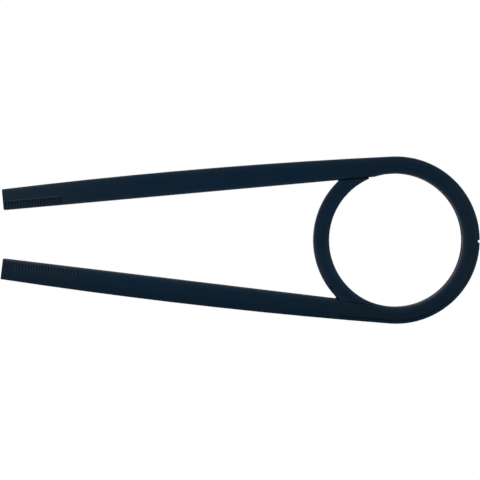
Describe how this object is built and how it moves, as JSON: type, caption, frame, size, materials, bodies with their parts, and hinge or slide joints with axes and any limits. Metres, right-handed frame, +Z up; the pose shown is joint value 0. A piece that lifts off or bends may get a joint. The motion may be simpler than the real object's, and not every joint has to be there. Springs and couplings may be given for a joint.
{
  "type": "chain case",
  "caption": "Front section of an enclosed bicycle chain case: two moulded halves that close around the chainring, with arms along the chain.",
  "frame": {"origin": "on the crank axis, in the middle of the case's depth", "axes": "+X forwards, away from the arms; +Y towards the bicycle, along the crank axis; +Z up"},
  "size_m": [0.4935, 0.016, 0.1728],
  "materials": {
    "case_plastic": "fine matt moulded black with a cold cast"
  },
  "bodies": {
    "root": {"upper_half": "case_plastic", "lower_half": "case_plastic"}
  },
  "joints": []
}
